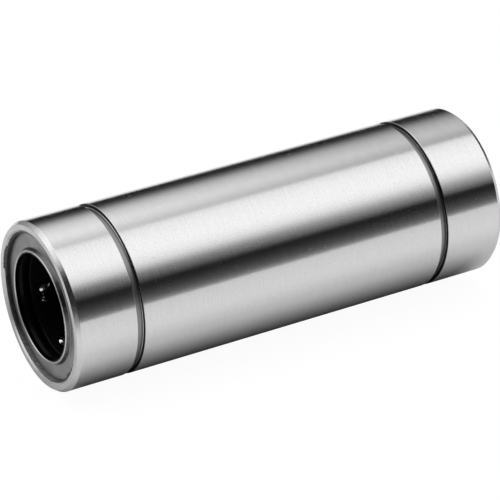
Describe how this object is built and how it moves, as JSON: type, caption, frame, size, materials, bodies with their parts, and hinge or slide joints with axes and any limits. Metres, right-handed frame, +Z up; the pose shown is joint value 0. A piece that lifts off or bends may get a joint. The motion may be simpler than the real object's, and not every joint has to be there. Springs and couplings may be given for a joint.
{
  "type": "linear ball bearing",
  "caption": "Long closed linear ball bearing: ground steel sleeve with two ring grooves, recirculating ball cages and end seals, for a round shaft.",
  "frame": {"origin": "middle of the bearing, on its axis", "axes": "+X along the bearing's axis from the front end, the one nearer the camera in the picture, to the rear end; +Z up with the bearing lying on its side"},
  "size_m": [0.112, 0.04, 0.04],
  "materials": {
    "ground_steel": "fine ground round the axis, bright",
    "shield_steel": "pressed sheet, matt grey",
    "spring_steel": "dark phosphated",
    "ball_steel": "polished",
    "cage_resin": "moulded, black",
    "seal_rubber": "moulded, black"
  },
  "bodies": {
    "bearing_body": {"outer_sleeve": "ground_steel", "middle_spacer": "spring_steel", "front_cage": "cage_resin", "front_retaining_ring": "spring_steel", "front_seal": "seal_rubber", "front_shield": "shield_steel", "rear_cage": "cage_resin", "rear_retaining_ring": "spring_steel", "rear_seal": "seal_rubber", "rear_shield": "shield_steel"},
    "front_loaded_balls_1": {"front_loaded_balls_1": "ball_steel"},
    "front_return_balls_1": {"front_return_balls_1": "ball_steel"},
    "front_outer_turn_balls_1": {"front_outer_turn_balls_1": "ball_steel"},
    "front_inner_turn_balls_1": {"front_inner_turn_balls_1": "ball_steel"},
    "front_loaded_balls_2": {"front_loaded_balls_2": "ball_steel"},
    "front_return_balls_2": {"front_return_balls_2": "ball_steel"},
    "front_outer_turn_balls_2": {"front_outer_turn_balls_2": "ball_steel"},
    "front_inner_turn_balls_2": {"front_inner_turn_balls_2": "ball_steel"},
    "front_loaded_balls_3": {"front_loaded_balls_3": "ball_steel"},
    "front_return_balls_3": {"front_return_balls_3": "ball_steel"},
    "front_outer_turn_balls_3": {"front_outer_turn_balls_3": "ball_steel"},
    "front_inner_turn_balls_3": {"front_inner_turn_balls_3": "ball_steel"},
    "front_loaded_balls_4": {"front_loaded_balls_4": "ball_steel"},
    "front_return_balls_4": {"front_return_balls_4": "ball_steel"},
    "front_outer_turn_balls_4": {"front_outer_turn_balls_4": "ball_steel"},
    "front_inner_turn_balls_4": {"front_inner_turn_balls_4": "ball_steel"},
    "front_loaded_balls_5": {"front_loaded_balls_5": "ball_steel"},
    "front_return_balls_5": {"front_return_balls_5": "ball_steel"},
    "front_outer_turn_balls_5": {"front_outer_turn_balls_5": "ball_steel"},
    "front_inner_turn_balls_5": {"front_inner_turn_balls_5": "ball_steel"},
    "front_loaded_balls_6": {"front_loaded_balls_6": "ball_steel"},
    "front_return_balls_6": {"front_return_balls_6": "ball_steel"},
    "front_outer_turn_balls_6": {"front_outer_turn_balls_6": "ball_steel"},
    "front_inner_turn_balls_6": {"front_inner_turn_balls_6": "ball_steel"},
    "rear_loaded_balls_1": {"rear_loaded_balls_1": "ball_steel"},
    "rear_return_balls_1": {"rear_return_balls_1": "ball_steel"},
    "rear_outer_turn_balls_1": {"rear_outer_turn_balls_1": "ball_steel"},
    "rear_inner_turn_balls_1": {"rear_inner_turn_balls_1": "ball_steel"},
    "rear_loaded_balls_2": {"rear_loaded_balls_2": "ball_steel"},
    "rear_return_balls_2": {"rear_return_balls_2": "ball_steel"},
    "rear_outer_turn_balls_2": {"rear_outer_turn_balls_2": "ball_steel"},
    "rear_inner_turn_balls_2": {"rear_inner_turn_balls_2": "ball_steel"},
    "rear_loaded_balls_3": {"rear_loaded_balls_3": "ball_steel"},
    "rear_return_balls_3": {"rear_return_balls_3": "ball_steel"},
    "rear_outer_turn_balls_3": {"rear_outer_turn_balls_3": "ball_steel"},
    "rear_inner_turn_balls_3": {"rear_inner_turn_balls_3": "ball_steel"},
    "rear_loaded_balls_4": {"rear_loaded_balls_4": "ball_steel"},
    "rear_return_balls_4": {"rear_return_balls_4": "ball_steel"},
    "rear_outer_turn_balls_4": {"rear_outer_turn_balls_4": "ball_steel"},
    "rear_inner_turn_balls_4": {"rear_inner_turn_balls_4": "ball_steel"},
    "rear_loaded_balls_5": {"rear_loaded_balls_5": "ball_steel"},
    "rear_return_balls_5": {"rear_return_balls_5": "ball_steel"},
    "rear_outer_turn_balls_5": {"rear_outer_turn_balls_5": "ball_steel"},
    "rear_inner_turn_balls_5": {"rear_inner_turn_balls_5": "ball_steel"},
    "rear_loaded_balls_6": {"rear_loaded_balls_6": "ball_steel"},
    "rear_return_balls_6": {"rear_return_balls_6": "ball_steel"},
    "rear_outer_turn_balls_6": {"rear_outer_turn_balls_6": "ball_steel"},
    "rear_inner_turn_balls_6": {"rear_inner_turn_balls_6": "ball_steel"}
  },
  "joints": [
    {"name": "front_circuit_1_loaded_slide", "type": "slide", "parent": "bearing_body", "child": "front_loaded_balls_1", "axis": [1, 0, 0], "range_m": [-0.002, 0.002]},
    {"name": "front_circuit_1_return_slide", "type": "slide", "parent": "bearing_body", "child": "front_return_balls_1", "axis": [1, 0, 0], "range_m": [-0.002, 0.002]},
    {"name": "front_circuit_1_outer_turn", "type": "hinge", "parent": "bearing_body", "child": "front_outer_turn_balls_1", "pos_m": [-0.04623, 0.01342, -0.00583], "axis": [0, 0.9656, -0.26], "range_deg": [-41.2, 41.2]},
    {"name": "front_circuit_1_inner_turn", "type": "hinge", "parent": "bearing_body", "child": "front_inner_turn_balls_1", "pos_m": [-0.01405, 0.01342, -0.00583], "axis": [0, 0.9656, -0.26], "range_deg": [-41.2, 41.2]},
    {"name": "front_circuit_2_loaded_slide", "type": "slide", "parent": "bearing_body", "child": "front_loaded_balls_2", "axis": [1, 0, 0], "range_m": [-0.002, 0.002]},
    {"name": "front_circuit_2_return_slide", "type": "slide", "parent": "bearing_body", "child": "front_return_balls_2", "axis": [1, 0, 0], "range_m": [-0.002, 0.002]},
    {"name": "front_circuit_2_outer_turn", "type": "hinge", "parent": "bearing_body", "child": "front_outer_turn_balls_2", "pos_m": [-0.04623, 0.01175, 0.00871], "axis": [0, 0.7079, 0.7063], "range_deg": [-41.2, 41.2]},
    {"name": "front_circuit_2_inner_turn", "type": "hinge", "parent": "bearing_body", "child": "front_inner_turn_balls_2", "pos_m": [-0.01405, 0.01175, 0.00871], "axis": [0, 0.7079, 0.7063], "range_deg": [-41.2, 41.2]},
    {"name": "front_circuit_3_loaded_slide", "type": "slide", "parent": "bearing_body", "child": "front_loaded_balls_3", "axis": [1, 0, 0], "range_m": [-0.002, 0.002]},
    {"name": "front_circuit_3_return_slide", "type": "slide", "parent": "bearing_body", "child": "front_return_balls_3", "axis": [1, 0, 0], "range_m": [-0.002, 0.002]},
    {"name": "front_circuit_3_outer_turn", "type": "hinge", "parent": "bearing_body", "child": "front_outer_turn_balls_3", "pos_m": [-0.04623, -0.00166, 0.01453], "axis": [0, -0.2577, 0.9662], "range_deg": [-41.2, 41.2]},
    {"name": "front_circuit_3_inner_turn", "type": "hinge", "parent": "bearing_body", "child": "front_inner_turn_balls_3", "pos_m": [-0.01405, -0.00166, 0.01453], "axis": [0, -0.2577, 0.9662], "range_deg": [-41.2, 41.2]},
    {"name": "front_circuit_4_loaded_slide", "type": "slide", "parent": "bearing_body", "child": "front_loaded_balls_4", "axis": [1, 0, 0], "range_m": [-0.002, 0.002]},
    {"name": "front_circuit_4_return_slide", "type": "slide", "parent": "bearing_body", "child": "front_return_balls_4", "axis": [1, 0, 0], "range_m": [-0.002, 0.002]},
    {"name": "front_circuit_4_outer_turn", "type": "hinge", "parent": "bearing_body", "child": "front_outer_turn_balls_4", "pos_m": [-0.04623, -0.01342, 0.00583], "axis": [0, -0.9656, 0.26], "range_deg": [-41.2, 41.2]},
    {"name": "front_circuit_4_inner_turn", "type": "hinge", "parent": "bearing_body", "child": "front_inner_turn_balls_4", "pos_m": [-0.01405, -0.01342, 0.00583], "axis": [0, -0.9656, 0.26], "range_deg": [-41.2, 41.2]},
    {"name": "front_circuit_5_loaded_slide", "type": "slide", "parent": "bearing_body", "child": "front_loaded_balls_5", "axis": [1, 0, 0], "range_m": [-0.002, 0.002]},
    {"name": "front_circuit_5_return_slide", "type": "slide", "parent": "bearing_body", "child": "front_return_balls_5", "axis": [1, 0, 0], "range_m": [-0.002, 0.002]},
    {"name": "front_circuit_5_outer_turn", "type": "hinge", "parent": "bearing_body", "child": "front_outer_turn_balls_5", "pos_m": [-0.04623, -0.01175, -0.00871], "axis": [0, -0.7079, -0.7063], "range_deg": [-41.2, 41.2]},
    {"name": "front_circuit_5_inner_turn", "type": "hinge", "parent": "bearing_body", "child": "front_inner_turn_balls_5", "pos_m": [-0.01405, -0.01175, -0.00871], "axis": [0, -0.7079, -0.7063], "range_deg": [-41.2, 41.2]},
    {"name": "front_circuit_6_loaded_slide", "type": "slide", "parent": "bearing_body", "child": "front_loaded_balls_6", "axis": [1, 0, 0], "range_m": [-0.002, 0.002]},
    {"name": "front_circuit_6_return_slide", "type": "slide", "parent": "bearing_body", "child": "front_return_balls_6", "axis": [1, 0, 0], "range_m": [-0.002, 0.002]},
    {"name": "front_circuit_6_outer_turn", "type": "hinge", "parent": "bearing_body", "child": "front_outer_turn_balls_6", "pos_m": [-0.04623, 0.00166, -0.01453], "axis": [0, 0.2577, -0.9662], "range_deg": [-41.2, 41.2]},
    {"name": "front_circuit_6_inner_turn", "type": "hinge", "parent": "bearing_body", "child": "front_inner_turn_balls_6", "pos_m": [-0.01405, 0.00166, -0.01453], "axis": [0, 0.2577, -0.9662], "range_deg": [-41.2, 41.2]},
    {"name": "rear_circuit_1_loaded_slide", "type": "slide", "parent": "bearing_body", "child": "rear_loaded_balls_1", "axis": [1, 0, 0], "range_m": [-0.002, 0.002]},
    {"name": "rear_circuit_1_return_slide", "type": "slide", "parent": "bearing_body", "child": "rear_return_balls_1", "axis": [1, 0, 0], "range_m": [-0.002, 0.002]},
    {"name": "rear_circuit_1_outer_turn", "type": "hinge", "parent": "bearing_body", "child": "rear_outer_turn_balls_1", "pos_m": [0.04623, 0.01342, -0.00583], "axis": [0, 0.9656, -0.26], "range_deg": [-41.2, 41.2]},
    {"name": "rear_circuit_1_inner_turn", "type": "hinge", "parent": "bearing_body", "child": "rear_inner_turn_balls_1", "pos_m": [0.01405, 0.01342, -0.00583], "axis": [0, 0.9656, -0.26], "range_deg": [-41.2, 41.2]},
    {"name": "rear_circuit_2_loaded_slide", "type": "slide", "parent": "bearing_body", "child": "rear_loaded_balls_2", "axis": [1, 0, 0], "range_m": [-0.002, 0.002]},
    {"name": "rear_circuit_2_return_slide", "type": "slide", "parent": "bearing_body", "child": "rear_return_balls_2", "axis": [1, 0, 0], "range_m": [-0.002, 0.002]},
    {"name": "rear_circuit_2_outer_turn", "type": "hinge", "parent": "bearing_body", "child": "rear_outer_turn_balls_2", "pos_m": [0.04623, 0.01175, 0.00871], "axis": [0, 0.7079, 0.7063], "range_deg": [-41.2, 41.2]},
    {"name": "rear_circuit_2_inner_turn", "type": "hinge", "parent": "bearing_body", "child": "rear_inner_turn_balls_2", "pos_m": [0.01405, 0.01175, 0.00871], "axis": [0, 0.7079, 0.7063], "range_deg": [-41.2, 41.2]},
    {"name": "rear_circuit_3_loaded_slide", "type": "slide", "parent": "bearing_body", "child": "rear_loaded_balls_3", "axis": [1, 0, 0], "range_m": [-0.002, 0.002]},
    {"name": "rear_circuit_3_return_slide", "type": "slide", "parent": "bearing_body", "child": "rear_return_balls_3", "axis": [1, 0, 0], "range_m": [-0.002, 0.002]},
    {"name": "rear_circuit_3_outer_turn", "type": "hinge", "parent": "bearing_body", "child": "rear_outer_turn_balls_3", "pos_m": [0.04623, -0.00166, 0.01453], "axis": [0, -0.2577, 0.9662], "range_deg": [-41.2, 41.2]},
    {"name": "rear_circuit_3_inner_turn", "type": "hinge", "parent": "bearing_body", "child": "rear_inner_turn_balls_3", "pos_m": [0.01405, -0.00166, 0.01453], "axis": [0, -0.2577, 0.9662], "range_deg": [-41.2, 41.2]},
    {"name": "rear_circuit_4_loaded_slide", "type": "slide", "parent": "bearing_body", "child": "rear_loaded_balls_4", "axis": [1, 0, 0], "range_m": [-0.002, 0.002]},
    {"name": "rear_circuit_4_return_slide", "type": "slide", "parent": "bearing_body", "child": "rear_return_balls_4", "axis": [1, 0, 0], "range_m": [-0.002, 0.002]},
    {"name": "rear_circuit_4_outer_turn", "type": "hinge", "parent": "bearing_body", "child": "rear_outer_turn_balls_4", "pos_m": [0.04623, -0.01342, 0.00583], "axis": [0, -0.9656, 0.26], "range_deg": [-41.2, 41.2]},
    {"name": "rear_circuit_4_inner_turn", "type": "hinge", "parent": "bearing_body", "child": "rear_inner_turn_balls_4", "pos_m": [0.01405, -0.01342, 0.00583], "axis": [0, -0.9656, 0.26], "range_deg": [-41.2, 41.2]},
    {"name": "rear_circuit_5_loaded_slide", "type": "slide", "parent": "bearing_body", "child": "rear_loaded_balls_5", "axis": [1, 0, 0], "range_m": [-0.002, 0.002]},
    {"name": "rear_circuit_5_return_slide", "type": "slide", "parent": "bearing_body", "child": "rear_return_balls_5", "axis": [1, 0, 0], "range_m": [-0.002, 0.002]},
    {"name": "rear_circuit_5_outer_turn", "type": "hinge", "parent": "bearing_body", "child": "rear_outer_turn_balls_5", "pos_m": [0.04623, -0.01175, -0.00871], "axis": [0, -0.7079, -0.7063], "range_deg": [-41.2, 41.2]},
    {"name": "rear_circuit_5_inner_turn", "type": "hinge", "parent": "bearing_body", "child": "rear_inner_turn_balls_5", "pos_m": [0.01405, -0.01175, -0.00871], "axis": [0, -0.7079, -0.7063], "range_deg": [-41.2, 41.2]},
    {"name": "rear_circuit_6_loaded_slide", "type": "slide", "parent": "bearing_body", "child": "rear_loaded_balls_6", "axis": [1, 0, 0], "range_m": [-0.002, 0.002]},
    {"name": "rear_circuit_6_return_slide", "type": "slide", "parent": "bearing_body", "child": "rear_return_balls_6", "axis": [1, 0, 0], "range_m": [-0.002, 0.002]},
    {"name": "rear_circuit_6_outer_turn", "type": "hinge", "parent": "bearing_body", "child": "rear_outer_turn_balls_6", "pos_m": [0.04623, 0.00166, -0.01453], "axis": [0, 0.2577, -0.9662], "range_deg": [-41.2, 41.2]},
    {"name": "rear_circuit_6_inner_turn", "type": "hinge", "parent": "bearing_body", "child": "rear_inner_turn_balls_6", "pos_m": [0.01405, 0.00166, -0.01453], "axis": [0, 0.2577, -0.9662], "range_deg": [-41.2, 41.2]}
  ],
  "couplings": [
    {"joint": "front_circuit_1_return_slide", "follows": "front_circuit_1_loaded_slide", "ratio": -1},
    {"joint": "front_circuit_1_outer_turn", "follows": "front_circuit_1_loaded_slide", "rad_per_m": 358.94},
    {"joint": "front_circuit_1_inner_turn", "follows": "front_circuit_1_loaded_slide", "rad_per_m": 358.94},
    {"joint": "front_circuit_2_return_slide", "follows": "front_circuit_2_loaded_slide", "ratio": -1},
    {"joint": "front_circuit_2_outer_turn", "follows": "front_circuit_2_loaded_slide", "rad_per_m": 358.94},
    {"joint": "front_circuit_2_inner_turn", "follows": "front_circuit_2_loaded_slide", "rad_per_m": 358.94},
    {"joint": "front_circuit_3_return_slide", "follows": "front_circuit_3_loaded_slide", "ratio": -1},
    {"joint": "front_circuit_3_outer_turn", "follows": "front_circuit_3_loaded_slide", "rad_per_m": 358.94},
    {"joint": "front_circuit_3_inner_turn", "follows": "front_circuit_3_loaded_slide", "rad_per_m": 358.94},
    {"joint": "front_circuit_4_return_slide", "follows": "front_circuit_4_loaded_slide", "ratio": -1},
    {"joint": "front_circuit_4_outer_turn", "follows": "front_circuit_4_loaded_slide", "rad_per_m": 358.94},
    {"joint": "front_circuit_4_inner_turn", "follows": "front_circuit_4_loaded_slide", "rad_per_m": 358.94},
    {"joint": "front_circuit_5_return_slide", "follows": "front_circuit_5_loaded_slide", "ratio": -1},
    {"joint": "front_circuit_5_outer_turn", "follows": "front_circuit_5_loaded_slide", "rad_per_m": 358.94},
    {"joint": "front_circuit_5_inner_turn", "follows": "front_circuit_5_loaded_slide", "rad_per_m": 358.94},
    {"joint": "front_circuit_6_return_slide", "follows": "front_circuit_6_loaded_slide", "ratio": -1},
    {"joint": "front_circuit_6_outer_turn", "follows": "front_circuit_6_loaded_slide", "rad_per_m": 358.94},
    {"joint": "front_circuit_6_inner_turn", "follows": "front_circuit_6_loaded_slide", "rad_per_m": 358.94},
    {"joint": "rear_circuit_1_return_slide", "follows": "rear_circuit_1_loaded_slide", "ratio": -1},
    {"joint": "rear_circuit_1_outer_turn", "follows": "rear_circuit_1_loaded_slide", "rad_per_m": 358.94},
    {"joint": "rear_circuit_1_inner_turn", "follows": "rear_circuit_1_loaded_slide", "rad_per_m": 358.94},
    {"joint": "rear_circuit_2_return_slide", "follows": "rear_circuit_2_loaded_slide", "ratio": -1},
    {"joint": "rear_circuit_2_outer_turn", "follows": "rear_circuit_2_loaded_slide", "rad_per_m": 358.94},
    {"joint": "rear_circuit_2_inner_turn", "follows": "rear_circuit_2_loaded_slide", "rad_per_m": 358.94},
    {"joint": "rear_circuit_3_return_slide", "follows": "rear_circuit_3_loaded_slide", "ratio": -1},
    {"joint": "rear_circuit_3_outer_turn", "follows": "rear_circuit_3_loaded_slide", "rad_per_m": 358.94},
    {"joint": "rear_circuit_3_inner_turn", "follows": "rear_circuit_3_loaded_slide", "rad_per_m": 358.94},
    {"joint": "rear_circuit_4_return_slide", "follows": "rear_circuit_4_loaded_slide", "ratio": -1},
    {"joint": "rear_circuit_4_outer_turn", "follows": "rear_circuit_4_loaded_slide", "rad_per_m": 358.94},
    {"joint": "rear_circuit_4_inner_turn", "follows": "rear_circuit_4_loaded_slide", "rad_per_m": 358.94},
    {"joint": "rear_circuit_5_return_slide", "follows": "rear_circuit_5_loaded_slide", "ratio": -1},
    {"joint": "rear_circuit_5_outer_turn", "follows": "rear_circuit_5_loaded_slide", "rad_per_m": 358.94},
    {"joint": "rear_circuit_5_inner_turn", "follows": "rear_circuit_5_loaded_slide", "rad_per_m": 358.94},
    {"joint": "rear_circuit_6_return_slide", "follows": "rear_circuit_6_loaded_slide", "ratio": -1},
    {"joint": "rear_circuit_6_outer_turn", "follows": "rear_circuit_6_loaded_slide", "rad_per_m": 358.94},
    {"joint": "rear_circuit_6_inner_turn", "follows": "rear_circuit_6_loaded_slide", "rad_per_m": 358.94}
  ]
}
